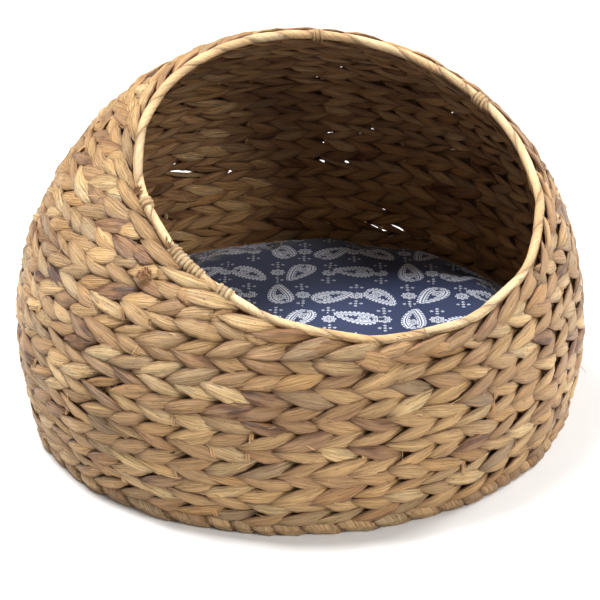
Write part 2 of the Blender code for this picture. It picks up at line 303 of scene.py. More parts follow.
def mesh_of_tubes(name, batches):
    """One mesh from batches of tubes. Their points, lay and tone are (tubes, stations, points round, 3)."""
    points, corners, sizes, lays, tones = [], [], [], [], []
    start = 0
    for batch in batches:
        tubes, stations, around, _ = batch["points"].shape
        total = tubes * stations * around
        index = start + np.arange(total).reshape(tubes, stations, around)
        far = np.roll(index, -1, 1) if batch["closed"] else index[:, 1:]
        near = index if batch["closed"] else index[:, :-1]
        quads = np.stack((near, np.roll(near, -1, 2), np.roll(far, -1, 2), far), -1).reshape(-1, 4)
        corners.append(quads.reshape(-1))
        sizes.append(np.full(len(quads), 4))
        if not batch["closed"]:
            corners.append(index[:, 0, ::-1].reshape(-1))
            corners.append(index[:, -1].reshape(-1))
            sizes.append(np.full(2 * tubes, around))
        points.append(batch["points"].reshape(-1, 3))
        lays.append(batch["lay"].reshape(-1, 3))
        tones.append(batch["tone"].reshape(-1, 3))
        start += total
    sizes = np.concatenate(sizes).astype(np.int32)
    corners = np.concatenate(corners).astype(np.int32)
    mesh = bpy.data.meshes.new(name)
    mesh.vertices.add(start)
    points = np.concatenate(points)
    points[:, 2] = np.maximum(points[:, 2], GROUND_GAP)
    mesh.vertices.foreach_set("co", points.astype(np.float32).reshape(-1))
    mesh.loops.add(len(corners))
    mesh.loops.foreach_set("vertex_index", corners)
    mesh.polygons.add(len(sizes))
    mesh.polygons.foreach_set("loop_start", np.concatenate(([0], np.cumsum(sizes)[:-1])).astype(np.int32))
    mesh.update(calc_edges=True)
    for label, values in (("lay", lays), ("tone", tones)):
        layer = mesh.attributes.new(label, "FLOAT_VECTOR", "POINT")
        layer.data.foreach_set("vector", np.concatenate(values).astype(np.float32).reshape(-1))
    mesh.shade_smooth()
    return mesh


def add_piece(name, batches, material, nodes=(), body="basket"):
    """One piece from batches of tubes, that rides on a body and stands for CAD nodes."""
    mesh = mesh_of_tubes(name, batches)
    piece = bpy.data.objects.new(name, mesh)
    bpy.context.scene.collection.objects.link(piece)
    mesh.materials.append(material)
    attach(piece, body)
    for node in nodes:
        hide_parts(node)


def smooth_noise(place, knots, spread):
    """Random values round a closed ring, smooth between knots. place runs from 0 to 1 round the ring."""
    values = rng.normal(0, spread, knots)
    place = (place % 1) * knots
    index = place.astype(int)
    share = (1 - np.cos((place - index) * math.pi)) / 2
    return values[index % knots] * (1 - share) + values[(index + 1) % knots] * share


def spread_of(count, low, high):
    return rng.uniform(low, high, count)[:, None]


def leaf_lines(point, outward, upward, share, reach, side, slant, skin):
    """The middle lines of the leaves, and the directions out of their faces and across them."""
    count = len(point)
    slope = spread_of(count, *SLOPE_SPREAD) * LEAF_SLOPE
    bow = spread_of(count, *BOW_SPREAD)
    rise = spread_of(count, *RISE_SPREAD)
    bulge = spread_of(count, *BULGE_SPREAD)
    up = slant * share * reach * slope + slant * bow * (1 - share**2) + rise
    sink = LEAF_SINK * spread_of(count, *SINK_SPREAD)
    lap = LEAF_LAP * spread_of(count, *LAP_SPREAD)
    dip = np.minimum(np.abs(share + lap) ** DIP_POWER, DEEPEST_DIP)
    out = side * (skin + bulge - sink * dip)
    centre = point + upward * up[..., None] + outward * out[..., None]
    along = unit(np.gradient(centre, axis=1))
    face = outward * side
    face = unit(face - along * dot(face, along))
    return centre, face, np.cross(face, along)


def leaf_sections(share, width, grid):
    """Points round each leaf at every station: their place across it, and how far they lie aside and out."""
    count, stations = share.shape
    _, face_count, back_count = grid
    from_widest = np.abs(share + spread_of(count, *WIDEST_SPREAD))
    belly = np.clip(1 - from_widest**LEAF_TAPER, 0, 1) ** 0.9
    tapered = LEAF_TIP + (1 - LEAF_TIP) * belly
    half = LEAF_WIDTH * width / 2 * spread_of(count, *WIDTH_SPREAD) * tapered
    half = half * (1 + LEAF_WAVER * rng.standard_normal((count, stations)))
    thick = LEAF_THICKNESS * (TIP_THICKNESS + (1 - TIP_THICKNESS) * belly)

    front = np.sin(np.linspace(-math.pi / 2, math.pi / 2, face_count) * 0.96)
    back = np.linspace(LEAF_BACK, -LEAF_BACK, back_count)
    x = np.concatenate((front, back))
    sharpness = spread_of(count, *SHARPNESS_SPREAD)
    crown = np.full((count, 1, len(x)), BACK_LEVEL)
    crown[:, 0, :face_count] = (1 - np.abs(front) ** sharpness) ** 0.55
    ridge = rng.normal(0, RIDGES, (count, 1, len(x))) * (1 - np.abs(x) ** 4)
    ridge[..., face_count:] = 0
    bump = rng.normal(0, BUMPS, (count, stations, len(x)))
    bump[..., face_count:] = 0
    roll = spread_of(count, *ROLL_SPREAD)[..., None]
    wide = x * half[..., None]
    high = (crown + ridge + bump * belly[..., None]) * thick[..., None] + wide * roll
    return x, wide, high


def leaf_marks(shape, share, reach, side, x):
    """What the materials read at every point: its place on the leaf, and the leaf's tone, edges and side."""
    count = shape[0]
    lay = np.empty(shape)
    lay[..., 0] = (share * reach)[..., None]
    lay[..., 1] = x * LEAF_WIDTH / 2
    lay[..., 2] = rng.uniform(0, 90, count)[:, None, None]
    tone = np.empty(shape)
    tone[..., 0] = rng.uniform(0, 1, count)[:, None, None]
    # nearness to the ends and edges, which the materials darken: the leaves' own mauve-brown tips, and
    # painted shade where they dip under their neighbours
    tone[..., 1] = np.maximum(np.abs(share)[..., None] ** 3, np.abs(x) ** 3.5)
    # 1 outside and 0 inside, where the materials paint shade
    tone[..., 2] = 0.5 + 0.5 * side
    return lay, tone


def leaf_batch(point, outward, upward, share, reach, side, slant, grid, width=1.0, skin=OUTER_SKIN):
    """Leaves lying on the wall. point, outward and upward are (leaves, stations, 3). share runs from -1 to 1
    along each leaf, and reach is half its length. side is 1 outside and -1 inside. slant is the way it
    leans."""
    centre, face, across = leaf_lines(point, outward, upward, share, reach, side, slant, skin)
    x, wide, high = leaf_sections(share, width, grid)
    points = centre[:, :, None] + across[:, :, None] * wide[..., None] + face[:, :, None] * high[..., None]
    lay, tone = leaf_marks(points.shape, share, reach, side, x)
    return {"points": points[:, :, ::-1], "closed": False, "lay": lay[:, :, ::-1], "tone": tone[:, :, ::-1]}


# ---- twined wall


def course_heights():
    """Heights of the courses, evenly spaced along the wall's slope."""
    height = np.linspace(FIRST_COURSE, DOME_LIMIT, 3000)
    point, _, _ = wall_frame(0.0, height)
    length = np.concatenate(([0], np.cumsum(np.linalg.norm(np.diff(point, axis=0), axis=1))))
    return np.interp(np.arange(0, length[-1], COURSE_PITCH), length, height)


def stakes_at(height):
    """Fewer stakes pass through the narrow courses near the top."""
    radius = MEAN_RADIUS * float(outline_ratio(np.array(height)))
    return RIB_COUNT * max(1, round(2 * math.pi * radius / LEAF_PITCH / RIB_COUNT))


def room_below_mouth(angle, height):
    """How far down the wall each point is from the mouth's edge."""
    point, _, upward = wall_frame(angle, height)
    return -above_mouth(point) / np.maximum(np.abs(upward @ MOUTH_NORMAL), 0.25)


def fullness(angle, height):
    """How wide the leaves are: 1 over most of the wall, and less where the weave is open."""
    width = np.ones_like(angle)
    for spot_angle, spot_height, loss in OPEN_SPOTS:
        around = (angle - spot_angle + math.pi) % (2 * math.pi) - math.pi
        near = np.exp(-((around / SPOT_REACH) ** 2) - ((height - spot_height) / SPOT_HALF_HEIGHT) ** 2)
        width = width * (1 - loss * near)
    return width[:, None]


def free_span(room):
    """How far each leaf reaches to both sides of its middle, at most -1 and 1. room is True at the trial
    steps that lie below the mouth."""
    first, last = [], []
    for row in room:
        before = np.argmin(np.append(row[TRIAL_STEPS::-1], False))
        after = np.argmin(np.append(row[TRIAL_STEPS:], False))
        first.append(TRIAL_SHARES[TRIAL_STEPS - before + 1])
        last.append(TRIAL_SHARES[TRIAL_STEPS + after - 1])
    return np.array(first), np.array(last)


def course(number, height, side):
    """The leaves of one course on one side of the wall, shortened where they reach the mouth."""
    stakes = stakes_at(height)
    pitch_angle = 2 * math.pi / stakes
    pitch = MEAN_RADIUS * float(outline_ratio(np.array(height))) * pitch_angle
    grid = OUTSIDE_GRID if side > 0 else INSIDE_GRID
    middle = FIRST_RIB + (np.arange(stakes) + rng.uniform(-0.06, 0.06, stakes)) * pitch_angle
    if side < 0:
        middle = middle + pitch_angle / 2
    reach = LEAF_REACH * rng.uniform(*REACH_SPREAD, stakes)
    wander = smooth_noise(middle / (2 * math.pi), knots=14, spread=0.0006)

    trial = middle[:, None] + TRIAL_SHARES * (reach * pitch_angle)[:, None]
    room = room_below_mouth(trial, height) > EDGE_ROOM
    kept = room[:, TRIAL_STEPS]
    middle, reach, wander, room = middle[kept], reach[kept], wander[kept], room[kept]
    if not len(middle):
        return None
    first, last = free_span(room)
    share = np.linspace(-1, 1, grid[0])
    place = (first + last)[:, None] / 2 + (last - first)[:, None] / 2 * share
    angle = middle[:, None] + place * (reach * pitch_angle)[:, None]
    point, outward, upward = wall_frame(angle, height)
    point = point + upward * wander[:, None, None]
    share = np.broadcast_to(share, angle.shape)
    half_length = (reach * pitch * (last - first) / 2)[:, None]
    slant = -1 if number % 2 else 1
    width = fullness(middle, height)
    return leaf_batch(point, outward, upward, share, half_length, side, slant, grid, width)


def weave_wall(material):
    """The courses, gathered into one piece for each band of the CAD wall."""
    edges = [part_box(f"outer_weave_{band}")[1].z for band in range(1, BAND_COUNT + 1)]
    bands = [[] for _ in edges]
    for number, height in enumerate(course_heights()):
        band = min(int(np.searchsorted(edges, height)), BAND_COUNT - 1)
        for side in (1, -1):
            leaves = course(number, height, side)
            if leaves:
                bands[band].append(leaves)
    for band, batches in enumerate(bands, 1):
        nodes = (f"outer_weave_{band}", f"inner_weave_{band}")
        add_piece(f"twined_band_{band}", batches, material, nodes)


def weave_border(material):
    """The course that follows the mouth's edge and holds the ends of the others."""
    steps = 8
    point, outward, upward, length = mouth_frame(BORDER_LEAVES * steps)
    batches = []
    for side, grid in ((1, OUTSIDE_GRID), (-1, INSIDE_GRID)):
        share = np.linspace(-1, 1, grid[0])
        place = np.arange(BORDER_LEAVES)[:, None] * steps + share * steps * LEAF_REACH
        place = place + rng.uniform(-0.5, 0.5, BORDER_LEAVES)[:, None]
        ring = [between(values, place) for values in (point - upward * BORDER_DEPTH, outward, upward)]
        share = np.broadcast_to(share, place.shape)
        reach = np.full((BORDER_LEAVES, 1), length / BORDER_LEAVES * LEAF_REACH)
        skin = OUTER_SKIN + BORDER_RISE
        batches.append(leaf_batch(*ring, share, reach, side, 1, grid, BORDER_WIDTH, skin))
    add_piece("mouth_border", batches, material)


def round_bar(point, radius, sides=8, shades=(0.4, 0.9)):
    """A plain round stake along a row of points."""
    along = unit(np.gradient(point, axis=0))
    side = unit(np.cross(along, (0.3, 0.2, 1.0)))
    other = np.cross(along, side)
    turn = angles_round(sides)
    points = point[:, None, :] + spokes(side, other, turn) * radius
    length = np.cumsum(np.linalg.norm(np.diff(point, axis=0, prepend=point[:1]), axis=1))
    lay = np.empty(points.shape)
    lay[..., 0] = length[:, None]
    lay[..., 1] = np.cos(turn)[None, :] * radius
    lay[..., 2] = rng.uniform(0, 40)
    tone = np.zeros(points.shape)
    tone[..., 0] = rng.uniform(*shades)
    return {"points": points[None], "closed": False, "lay": lay[None], "tone": tone[None]}


def make_stakes(material):
    """Thin twine stakes between the ribs, and the twine wound on the rib wires."""
    thin, thick = [], []
    edge_gap, rib_inset, pair_shift = 0.004, 0.0006, 0.0013
    height = np.linspace(BASE_LEVEL, DOME_HEIGHT * 0.995, 60)
    for stake in range(RIB_COUNT * STAKES_PER_RIB):
        angle = FIRST_RIB + stake * RIB_SPACING / STAKES_PER_RIB
        point, outward, _ = wall_frame(angle, height)
        keep = -above_mouth(point) > edge_gap
        is_rib = stake % STAKES_PER_RIB == 0
        if is_rib:
            thick.append(round_bar((point - outward * rib_inset)[keep], RIB_TWINE))
        else:
            keep &= height < STAKE_TOP
            side = np.array((-math.sin(angle), math.cos(angle), 0))
            for shift in (-pair_shift, pair_shift):
                thin.append(round_bar((point + side * shift)[keep], STAKE_TWINE, sides=6))
    add_piece("twine_stakes", thin, material)
    add_piece("rib_twine", thick, material)


def make_twine_loops(material):
    """Short loops of the twine stakes that show on the outside between two leaves."""
    batches = []
    pair_shift = 0.0011
    place = np.linspace(-1, 1, 9)
    rise = 0.0012 + 0.0048 * np.cos(place * 1.2)
    for height in course_heights():
        stakes = stakes_at(height)
        for stake in np.flatnonzero(rng.random(stakes) < LOOP_SHARE):
            angle = FIRST_RIB + (stake + 0.5 + rng.uniform(-0.1, 0.1)) * 2 * math.pi / stakes
            point, outward, _ = wall_frame(angle, height + place * rng.uniform(0.0065, 0.0090))
            if -above_mouth(point).max() < LOOP_MARGIN:
                continue
            side = np.array((-math.sin(angle), math.cos(angle), 0))
            lean = side * rng.uniform(-0.0015, 0.0015)
            for shift in (-pair_shift, pair_shift):
                strand = point + outward * rise[:, None] + side * shift + lean * place[:, None]
                batches.append(round_bar(strand, LOOP_TWINE, sides=6))
    add_piece("twine_loops", batches, material)


def make_tufts(material):
    """Frayed strand ends, each a brush of fibres."""
    stations, root_height = 400, 0.0062
    point, outward, upward, _ = mouth_frame(stations)
    step = np.linspace(0, 1, 7)[:, None]
    for number, (place, below, fibres, heading, size) in enumerate(TUFTS, 1):
        station = int(place * stations)
        out, up = outward[station], upward[station]
        along = np.cross(out, up)
        across = up * math.cos(heading) - along * math.sin(heading)
        root = point[station] - up * below + out * root_height
        batches = []
        for _ in range(fibres):
            turn = heading + rng.uniform(-0.5, 0.5)
            way = along * math.cos(turn) + up * math.sin(turn) + out * rng.uniform(0.0, 0.4)
            bend = along * rng.uniform(-0.2, 0.2) + up * rng.uniform(-0.3, 0.3)
            start = root + (across * rng.uniform(-1, 1) - out * rng.uniform(0, 0.3)) * size
            strand = start + (way * step + bend * step**2) * rng.uniform(0.004, 0.009)
            batches.append(round_bar(strand, rng.uniform(0.0004, 0.0007), sides=5, shades=(0.0, 0.12)))
        add_piece(f"frayed_end_{number}", batches, material)


def make_loose_fibres(material):
    """Single fibres that have come loose and stand off the wall."""
    batches = []
    mouth_margin, root_height = 0.012, 0.005
    step = np.linspace(0, 1, 8)[:, None]
    angles = rng.uniform(0, 2 * math.pi, LOOSE_FIBRES)
    heights = rng.uniform(0.02, 0.35, LOOSE_FIBRES)
    for angle, height in zip(angles, heights):
        point, outward, upward = wall_frame(angle, height)
        if -above_mouth(point) < mouth_margin:
            continue
        along = np.cross(outward, upward)
        turn = rng.uniform(0, 2 * math.pi)
        way = along * math.cos(turn) + upward * math.sin(turn) * 0.6 + outward * rng.uniform(0.2, 0.9)
        bend = along * rng.uniform(-0.6, 0.6) + upward * rng.uniform(-0.6, 0.2)
        strand = point + outward * root_height + (way * step + bend * step**2) * rng.uniform(0.006, 0.014)
        batches.append(round_bar(strand, rng.uniform(0.00022, 0.0004), sides=5))
    add_piece("loose_fibres", batches, material)


# ---- wound rims


def wound_ring(point, outward, upward, radius, turns, around, relief, overlap, closed=True):
    """A strand wound round a ring. turns counts the windings up to each station, relief is how far the edges
    of the strand are drawn in, and overlap is how much each winding rises over the one before."""
    turn = angles_round(around)
    phase = turns[:, None] + turn[None, :] / (2 * math.pi)
    share = phase - np.floor(phase)
    index = np.floor(phase).astype(int)
    index -= index.min()
    windings = index.max() + 1
    swell = rng.uniform(-0.5, 0.5, windings)[index]
    twist = rng.uniform(-0.18, 0.18, windings)[index]
    shape = 1 - np.abs(2 * share - 1 + twist * (1 - np.abs(2 * share - 1))) ** 4
    size = radius + relief * (shape - 1) + overlap * (share - 0.5) + relief * 0.5 * swell
    size = size + relief * 0.12 * rng.standard_normal(size.shape)
    points = point[:, None, :] + spokes(outward, upward, turn) * size[..., None]
    lay = np.empty(points.shape)
    lay[..., 0] = turn[None, :] * radius
    lay[..., 1] = share * STRAND_WIDTH
    lay[..., 2] = index * 3.7  # far enough apart that each winding has fibres of its own
    tone = np.zeros(points.shape)
    tone[..., 0] = rng.uniform(0.0, 1.0, windings)[index]
    # nearness to the winding's edges, where the materials paint shade in the grooves between windings
    tone[..., 1] = np.abs(2 * share - 1) ** 2
    tone[..., 2] = 1
    return {"points": points[None], "closed": closed, "lay": lay[None], "tone": tone[None]}


def uneven_turns(count, length, pitch, spread):
    """Windings up to each station, with wider and tighter stretches."""
    place = np.arange(count) / count
    density = np.exp(smooth_noise(place, knots=23, spread=spread))
    turns = np.cumsum(density)
    whole = round(length / pitch)
    return (turns - turns[0]) * whole / (turns[-1] + density[0] - turns[0])


def make_rim(material):
    """One long strand laid along the mouth hoop in steep turns, and short stretches of tight windings."""
    count = 900
    point, outward, upward, length = mouth_frame(count)
    turns = uneven_turns(count, length, RIM_TURN, spread=0.35)
    tube = wound_ring(point, outward, upward, RIM_RADIUS, turns, around=20, relief=0.0006, overlap=0.0003)
    add_piece("mouth_rim", [tube], material, ("mouth_binding",))
    for number, (first, windings, pitch) in enumerate(RIM_TIES, 1):
        stations = windings * 7
        start = int(first * count)
        place = start + np.arange(stations + 1) * windings * pitch / length * count / stations
        ring = [between(values, place) for values in (point, outward, upward)]
        turns = np.linspace(0, windings, stations + 1)
        radius = RIM_RADIUS + TIE_RISE
        tie = wound_ring(*ring, radius, turns, around=18, relief=TIE_RISE, overlap=0.0, closed=False)
        add_piece(f"rim_tie_{number}", [tie], material)


def make_base(material):
    """Strands wound round the base hoop, one after the other, flat where the basket stands on them."""
    count = 1200
    point, outward, _ = wall_frame(angles_round(count), BASE_LEVEL)
    point[:, 2] = BASE_RADIUS
    outward[:, 2] = 0
    outward = unit(outward)
    upward = np.broadcast_to((0.0, 0.0, 1.0), outward.shape)
    radius = BASE_RADIUS + BASE_RISE
    turns = uneven_turns(count, BASE_LENGTH, BASE_TURN, spread=0.45)
    tube = wound_ring(point, outward, upward, radius, turns, around=18, relief=0.0020, overlap=BASE_RISE)
    add_piece("base_winding", [tube], material, ("base_rope",))


# ---- floor


def weave_floor(material):
    """Courses across the floor, over and under the bars."""
    low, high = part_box("floor_weave_lower")[0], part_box("floor_weave_upper")[1]
    edge_gap, row_end_gap = 0.001, 0.006
    half_width, half_depth = high.x - edge_gap, high.y - edge_gap
    middle = (low.z + high.z) / 2
    stations = INSIDE_GRID[0]
    batches = []
    rows = int(2 * half_depth / COURSE_PITCH)
    for row in range(rows):
        y = -half_depth + (row + 0.5) * 2 * half_depth / rows
        reach_x = half_width * math.sqrt(max(0.0, 1 - (y / half_depth) ** 2)) - row_end_gap
        count = int(2 * reach_x / LEAF_PITCH)
        if count < 1:
            continue
        share = np.broadcast_to(np.linspace(-1, 1, stations), (count, stations))
        x = (np.arange(count) - (count - 1) / 2)[:, None] * LEAF_PITCH + share * LEAF_PITCH * LEAF_REACH
        x = np.clip(x, -reach_x, reach_x)
        point = np.stack((x, np.full_like(x, y), np.full_like(x, middle)), -1)
        outward = np.broadcast_to((0.0, 0.0, 1.0), point.shape)
        upward = np.broadcast_to((0.0, 1.0, 0.0), point.shape)
        reach = np.full((count, 1), LEAF_PITCH * LEAF_REACH)
        slant = 1 if row % 2 else -1
        lines = (point, outward, upward, share, reach)
        for side in (-1, 1):
            batches.append(leaf_batch(*lines, side, slant, INSIDE_GRID, skin=FLOOR_SKIN))
    add_piece("floor_weave", batches, material, ("floor_weave_upper", "floor_weave_lower"))


# ---- cushion


def cushion_shell():
    """The sewn cover before it is stuffed: two dished panels that meet at the seam."""
    mesh = bpy.data.meshes.new("cushion_shell")
    around = 120
    turn = angles_round(around)
    points = []
    for share, height in SHELL_PROFILE:
        x = CUSHION_WIDTH / 2 * share * np.cos(turn)
        y = CUSHION_DEPTH / 2 * share * np.sin(turn)
        points += np.stack((x, y, np.full(around, height)), -1).tolist()
    faces = [tuple(range(around))]
    for ring in range(len(SHELL_PROFILE) - 1):
        for i in range(around):
            after = (i + 1) % around
            near, far = ring * around, (ring + 1) * around
            faces.append((near + after, near + i, far + i, far + after))
    faces.append(tuple(range(len(points) - 1, len(points) - around - 1, -1)))
    mesh.from_pydata(points, [], faces)
    mesh.update()
    shell = bpy.data.objects.new("cushion_cover", mesh)
    bpy.context.scene.collection.objects.link(shell)
    return shell


def apply_modifiers(obj):
    graph = bpy.context.evaluated_depsgraph_get()
    made = bpy.data.meshes.new_from_object(obj.evaluated_get(graph))
    obj.modifiers.clear()
    obj.data = made


def coordinates(mesh):
    values = np.empty(len(mesh.vertices) * 3, np.float32)
    mesh.vertices.foreach_get("co", values)
    return values.reshape(-1, 3).astype(float)


def share_of_radius(points):
    """1 on the cushion's outline and less inside it."""
    return np.hypot(points[:, 0] / (CUSHION_WIDTH / 2), points[:, 1] / (CUSHION_DEPTH / 2))


def stuff_cushion(cushion):
    """Swells the cover like fibre filling does, with its seam held, so that the cloth puckers along the seam.
    Gives the points of the swelled cover."""
    before = coordinates(cushion.data)
    at_seam_height = np.abs(before[:, 2] - SEAM_HEIGHT) < 0.005
    seam = np.flatnonzero((share_of_radius(before) > 0.985) & at_seam_height)
    group = cushion.vertex_groups.new(name="seam")
    group.add([int(i) for i in seam], 1.0, "REPLACE")
    settings = cushion.modifiers.new("cloth", "CLOTH").settings
    settings.quality = 6
    settings.mass = 0.25
    settings.tension_stiffness = 18
    settings.compression_stiffness = 18
    settings.shear_stiffness = 6
    settings.bending_stiffness = 0.25
    settings.use_pressure = True
    settings.uniform_pressure_force = 4.0
    settings.shrink_min = -0.055
    settings.effector_weights.gravity = 0
    settings.vertex_group_mass = "seam"
    settings.pin_stiffness = 1.0
    for frame_number in range(1, STUFFING_FRAMES + 1):
        bpy.context.scene.frame_set(frame_number)
    apply_modifiers(cushion)
    moved = coordinates(cushion.data) - before
    length = np.linalg.norm(moved, axis=1, keepdims=True)
    points = before + moved * np.minimum(1, SWELL_LIMIT / np.maximum(length, 1e-9))
    points[:, 2] = np.clip(points[:, 2], CUSHION_BOTTOM, CUSHION_TOP + 0.004)
    points[:, :2] *= np.minimum(1, 1.012 / np.maximum(share_of_radius(points), 1e-6))[:, None]
    return points


def make_cover(material):
    """The printed cover, over its filling."""
    cushion = cushion_shell()
    remesh = cushion.modifiers.new("remesh", "REMESH")
    remesh.mode = "VOXEL"
    remesh.voxel_size = COVER_VOXEL
    apply_modifiers(cushion)
    points = stuff_cushion(cushion)
    cushion.data.vertices.foreach_set("co", points.astype(np.float32).reshape(-1))
    smoother = cushion.modifiers.new("subdivide", "SUBSURF")
    smoother.levels = 1
    smoother.render_levels = 1
    apply_modifiers(cushion)
    rest = coordinates(cushion.data)
    layer = cushion.data.attributes.new("lay", "FLOAT_VECTOR", "POINT")
    layer.data.foreach_set("vector", rest.astype(np.float32).reshape(-1))
    cushion.data.shade_smooth()
    cushion.data.materials.clear()
    cushion.data.materials.append(material)
    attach(cushion, "cushion")
    for node in ("cushion_top_panel", "cushion_bottom_panel", "cushion_filling"):
        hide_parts(node)


def make_piping(material):
    """The piping in the cushion's seam."""
    count = 420
    turn = angles_round(count)
    wander = smooth_noise(turn / (2 * math.pi), knots=60, spread=0.0006)
    x = (CUSHION_WIDTH / 2 - PIPING_INSET) * np.cos(turn)
    y = (CUSHION_DEPTH / 2 - PIPING_INSET) * np.sin(turn)
    point = np.stack((x, y, SEAM_HEIGHT + wander), -1)
    outward = np.stack((np.cos(turn), np.sin(turn), np.zeros(count)), -1)
    upward = np.broadcast_to((0.0, 0.0, 1.0), outward.shape)
    turns = uneven_turns(count, PIPING_LENGTH, PIPING_TURN, spread=0.05)
    cord = wound_ring(point, outward, upward, PIPING_RADIUS, turns, around=12, relief=0.0004, overlap=0.0)
    add_piece("seam_piping", [cord], material, ("cushion_piping",), "cushion")


# ---- materials


WALL_PALETTE = (
    (0.0, (0.08, 0.030, 0.014)),
    (0.06, (0.20, 0.090, 0.040)),
    (0.11, (0.32, 0.172, 0.078)),
    (0.26, (0.43, 0.248, 0.105)),
    (0.55, (0.52, 0.315, 0.130)),
    (0.80, (0.65, 0.410, 0.172)),
    (0.95, (0.80, 0.560, 0.265)),
    (1.0, (0.56, 0.410, 0.215)),
)
ROPE_PALETTE = (
    (0.0, (0.54, 0.340, 0.160)),
    (0.35, (0.64, 0.430, 0.210)),
    (0.7, (0.74, 0.530, 0.285)),
    (1.0, (0.80, 0.600, 0.350)),
)
BASE_PALETTE = (
    (0.0, (0.26, 0.145, 0.075)),
    (0.3, (0.44, 0.265, 0.125)),
    (0.7, (0.56, 0.355, 0.165)),
    (1.0, (0.66, 0.440, 0.215)),
)
HUES = (  # (colour, spread from leaf to leaf, exponent, share): rosy, olive and orange
    ((0.42, 0.232, 0.115), 7.3, 1.0, 0.24),
    ((0.40, 0.320, 0.185), 13.7, 4.0, 0.5),
    ((0.60, 0.310, 0.095), 29.3, 4.0, 0.45),
)
# mauve-brown leaf tips, and painted shade at the edges and ends of leaves and in the grooves between wound
# windings
TIP_AND_SHADE_COLOUR = (0.13, 0.050, 0.018)
# painted shade along the folds of the leaves
FOLD_SHADE_COLOUR = (0.17, 0.075, 0.028)
SPECK_COLOUR = (0.10, 0.045, 0.02)
# painted shade on the leaves inside the wall
INSIDE_SHADE = (1.0, 0.92, 0.88)
NAVY = (0.021, 0.034, 0.090)
PRINT_WHITE = (0.72, 0.76, 0.84)


def new_material(name):
    material = bpy.data.materials.new(name)
    material.use_nodes = True
    tree = material.node_tree
    return material, tree, tree.nodes["Principled BSDF"]


class Field:
    """A number at every point of a surface, worked out by Math nodes."""

    def __init__(self, tree, socket):
        self.tree = tree
        self.socket = socket

    def step(self, operation, *others):
        node = self.tree.nodes.new("ShaderNodeMath")
        node.operation = operation
        for place, value in enumerate((self, *others)):
            if isinstance(value, Field):
                self.tree.links.new(value.socket, node.inputs[place])
            else:
                node.inputs[place].default_value = value
        return Field(self.tree, node.outputs[0])

    def __add__(self, other):
        return self.step("ADD", other)

    def __sub__(self, other):
        return self.step("SUBTRACT", other)

    def __rsub__(self, number):
        return self.step("MULTIPLY_ADD", -1.0, number)

    def __mul__(self, other):
        return self.step("MULTIPLY", other)

    def __truediv__(self, other):
        return self.step("DIVIDE", other)

    def absolute(self):
        return self.step("ABSOLUTE")

    def fraction(self):
        return self.step("FRACT")

    def power(self, exponent):
        return self.step("POWER", exponent)

    def below(self, limit):
        return self.step("LESS_THAN", limit)

    def above(self, limit):
        return self.step("GREATER_THAN", limit)

    def either(self, other):
        return self.step("MAXIMUM", other)


def attribute_of(tree, name):
    node = tree.nodes.new("ShaderNodeAttribute")
    node.attribute_name = name
    return node.outputs["Vector"]


def parts_of(tree, vector):
    """The three numbers of a vector."""
    split = tree.nodes.new("ShaderNodeSeparateXYZ")
    tree.links.new(vector, split.inputs[0])
    return [Field(tree, socket) for socket in split.outputs]


def noise_on(tree, vector, scale, detail):
    """Noise over a vector stretched by a scale for each axis."""
    stretch = tree.nodes.new("ShaderNodeVectorMath")
    stretch.operation = "MULTIPLY"
    stretch.inputs[1].default_value = scale
    tree.links.new(vector, stretch.inputs[0])
    noise = tree.nodes.new("ShaderNodeTexNoise")
    set_inputs(noise, {"Scale": 1.0, "Detail": detail})
    tree.links.new(stretch.outputs[0], noise.inputs["Vector"])
    return Field(tree, noise.outputs["Fac"])


def set_inputs(node, values):
    for name, value in values.items():
        node.inputs[name].default_value = value


def add_bump(tree, shader, height, strength, distance):
    bump = tree.nodes.new("ShaderNodeBump")
    set_inputs(bump, {"Strength": strength, "Distance": distance})
    tree.links.new(height.socket, bump.inputs["Height"])
    tree.links.new(bump.outputs[0], shader.inputs["Normal"])


def colour_ramp(tree, palette, factor):
    ramp = tree.nodes.new("ShaderNodeValToRGB")
    stops = ramp.color_ramp.elements
    stops[0].color = (*palette[0][1], 1)
    stops[0].position = palette[0][0]
    stops[1].color = (*palette[-1][1], 1)
    stops[1].position = palette[-1][0]
    for position, colour in palette[1:-1]:
        stops.new(position).color = (*colour, 1)
    tree.links.new(factor.socket, ramp.inputs["Fac"])
    return ramp.outputs["Color"]


def mix_colour(tree, kind, factor, first, second):
    """A Mix node of colours, fields or sockets, and its output."""
    node = tree.nodes.new("ShaderNodeMix")
    node.data_type = "RGBA"
    node.blend_type = kind
    for place, value in ((0, factor), (6, first), (7, second)):
        if isinstance(value, float):
            node.inputs[place].default_value = value
        elif isinstance(value, tuple):
            node.inputs[place].default_value = (*value, 1)
        else:
            socket = value.socket if isinstance(value, Field) else value
            tree.links.new(socket, node.inputs[place])
    return node.outputs[2]


def leaf_hues(tree, leaf, colour):
    """Turns some leaves towards another hue. leaf is a number from 0 to 1 that each leaf has to itself."""
    for hue, spread, exponent, share in HUES:
        chance = (leaf * spread).fraction().power(exponent)
        colour = mix_colour(tree, "MIX", chance * share, colour, hue)
    return colour


